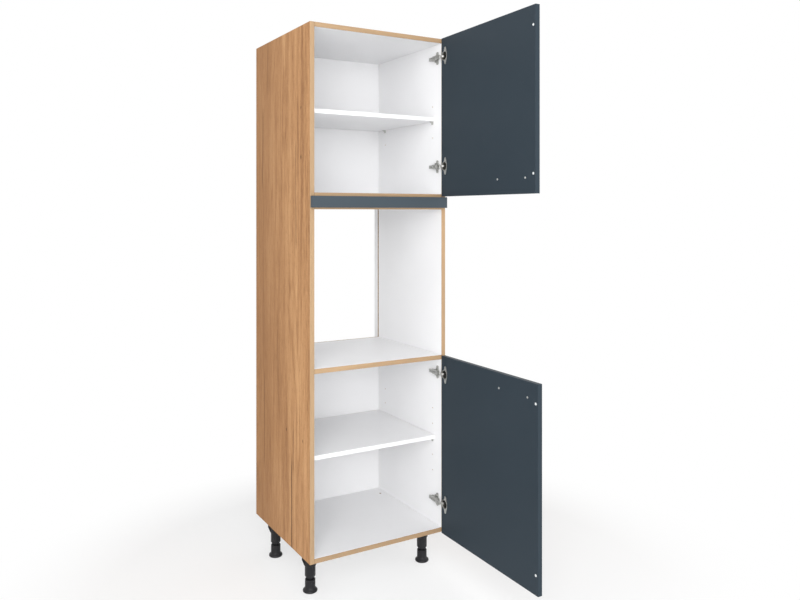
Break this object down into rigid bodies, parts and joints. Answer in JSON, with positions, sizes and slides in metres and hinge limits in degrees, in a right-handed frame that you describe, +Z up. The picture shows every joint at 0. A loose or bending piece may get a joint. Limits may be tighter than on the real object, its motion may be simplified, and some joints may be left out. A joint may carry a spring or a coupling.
{
  "type": "tall oven housing unit",
  "caption": "Tall kitchen unit for a built-in oven: open niche between an upper and a lower cupboard, hinged slab doors, adjustable shelves and levelling legs.",
  "frame": {"origin": "on the floor, under the middle of the unit's box with both doors open; the middle of the carcase's width is at x = -0.0077 m and its front edge at y = 0.0232 m", "axes": "+Z up, +Y towards the back, +X towards the hinge side, seen from the front to the right"},
  "size_m": [0.6154, 1.1664, 2.15],
  "materials": {
    "oak_board": "oak-grained melamine, white on the inner face",
    "white_board": "white melamine on board",
    "door_lacquer": "silk blue-grey lacquer on board",
    "nickel_steel": "satin nickel plate",
    "handle_steel": "brushed",
    "black_plastic": "moulded, fine texture",
    "clear_plastic": "soft clear plastic"
  },
  "bodies": {
    "carcase": {"side_panel_left": "oak_board", "side_panel_right": "oak_board", "top_panel": "oak_board", "bottom_panel": "oak_board", "front_rail": "oak_board", "oven_shelf": "white_board", "upper_fixed_shelf": "white_board", "back_panel_upper": "white_board", "back_panel_lower": "white_board", "upper_shelf": "white_board", "lower_shelf": "white_board", "trim_strip": "door_lacquer", "upper_shelf_support_front_left": "nickel_steel", "upper_shelf_support_front_right": "nickel_steel", "upper_shelf_support_rear_left": "nickel_steel", "upper_shelf_support_rear_right": "nickel_steel", "lower_shelf_support_front_left": "nickel_steel", "lower_shelf_support_front_right": "nickel_steel", "lower_shelf_support_rear_left": "nickel_steel", "lower_shelf_support_rear_right": "nickel_steel", "leg_front_left": "black_plastic", "leg_front_right": "black_plastic", "leg_rear_left": "black_plastic", "leg_rear_right": "black_plastic", "upper_door_lower_hinge_arm": "nickel_steel", "upper_door_lower_hinge_plate": "nickel_steel", "upper_door_upper_hinge_arm": "nickel_steel", "upper_door_upper_hinge_plate": "nickel_steel", "lower_door_lower_hinge_arm": "nickel_steel", "lower_door_lower_hinge_plate": "nickel_steel", "lower_door_upper_hinge_arm": "nickel_steel", "lower_door_upper_hinge_plate": "nickel_steel"},
    "upper_door": {"upper_door": "door_lacquer", "upper_door_handle": "handle_steel", "upper_door_screw_outer": "handle_steel", "upper_door_screw_inner": "handle_steel", "upper_door_bumper_bottom": "clear_plastic", "upper_door_bumper_top": "clear_plastic", "upper_door_lower_hinge_cup": "nickel_steel", "upper_door_upper_hinge_cup": "nickel_steel"},
    "upper_door_lower_hinge_link": {"upper_door_lower_hinge_link": "nickel_steel"},
    "upper_door_upper_hinge_link": {"upper_door_upper_hinge_link": "nickel_steel"},
    "lower_door": {"lower_door": "door_lacquer", "lower_door_handle": "handle_steel", "lower_door_screw_outer": "handle_steel", "lower_door_screw_inner": "handle_steel", "lower_door_bumper_bottom": "clear_plastic", "lower_door_bumper_top": "clear_plastic", "lower_door_lower_hinge_cup": "nickel_steel", "lower_door_upper_hinge_cup": "nickel_steel"},
    "lower_door_lower_hinge_link": {"lower_door_lower_hinge_link": "nickel_steel"},
    "lower_door_upper_hinge_link": {"lower_door_upper_hinge_link": "nickel_steel"},
    "levelling_foot_front_left": {"levelling_foot_front_left": "black_plastic"},
    "levelling_foot_front_right": {"levelling_foot_front_right": "black_plastic"},
    "levelling_foot_rear_left": {"levelling_foot_rear_left": "black_plastic"},
    "levelling_foot_rear_right": {"levelling_foot_rear_right": "black_plastic"}
  },
  "joints": [
    {"name": "upper_door_swing", "type": "hinge", "parent": "carcase", "child": "upper_door", "pos_m": [0.2828, 0.00521, 1.8295], "axis": [0, 0, 1], "range_deg": [-88, 21]},
    {"name": "upper_door_lower_hinge_link_turn", "type": "hinge", "parent": "carcase", "child": "upper_door_lower_hinge_link", "pos_m": [0.2578, 0.01391, 1.6325], "axis": [0, 0, 1], "range_deg": [-10.5, 43.3]},
    {"name": "upper_door_upper_hinge_link_turn", "type": "hinge", "parent": "carcase", "child": "upper_door_upper_hinge_link", "pos_m": [0.2578, 0.01391, 2.0755], "axis": [0, 0, 1], "range_deg": [-10.5, 43.3]},
    {"name": "lower_door_swing", "type": "hinge", "parent": "carcase", "child": "lower_door", "pos_m": [0.2828, 0.00521, 0.509], "axis": [0, 0, 1], "range_deg": [-89, 20]},
    {"name": "lower_door_lower_hinge_link_turn", "type": "hinge", "parent": "carcase", "child": "lower_door_lower_hinge_link", "pos_m": [0.2578, 0.01391, 0.273], "axis": [0, 0, 1], "range_deg": [-9.9, 43.8]},
    {"name": "lower_door_upper_hinge_link_turn", "type": "hinge", "parent": "carcase", "child": "lower_door_upper_hinge_link", "pos_m": [0.2578, 0.01391, 0.794], "axis": [0, 0, 1], "range_deg": [-9.9, 43.8]},
    {"name": "levelling_foot_front_left_screw", "type": "slide", "parent": "carcase", "child": "levelling_foot_front_left", "axis": [0, 0, -1], "range_m": [0, 0.02]},
    {"name": "levelling_foot_front_right_screw", "type": "slide", "parent": "carcase", "child": "levelling_foot_front_right", "axis": [0, 0, -1], "range_m": [0, 0.02]},
    {"name": "levelling_foot_rear_left_screw", "type": "slide", "parent": "carcase", "child": "levelling_foot_rear_left", "axis": [0, 0, -1], "range_m": [0, 0.02]},
    {"name": "levelling_foot_rear_right_screw", "type": "slide", "parent": "carcase", "child": "levelling_foot_rear_right", "axis": [0, 0, -1], "range_m": [0, 0.02]}
  ],
  "couplings": [
    {"joint": "upper_door_lower_hinge_link_turn", "follows": "upper_door_swing", "ratio": -0.49},
    {"joint": "upper_door_upper_hinge_link_turn", "follows": "upper_door_swing", "ratio": -0.49},
    {"joint": "lower_door_lower_hinge_link_turn", "follows": "lower_door_swing", "ratio": -0.49},
    {"joint": "lower_door_upper_hinge_link_turn", "follows": "lower_door_swing", "ratio": -0.49}
  ]
}
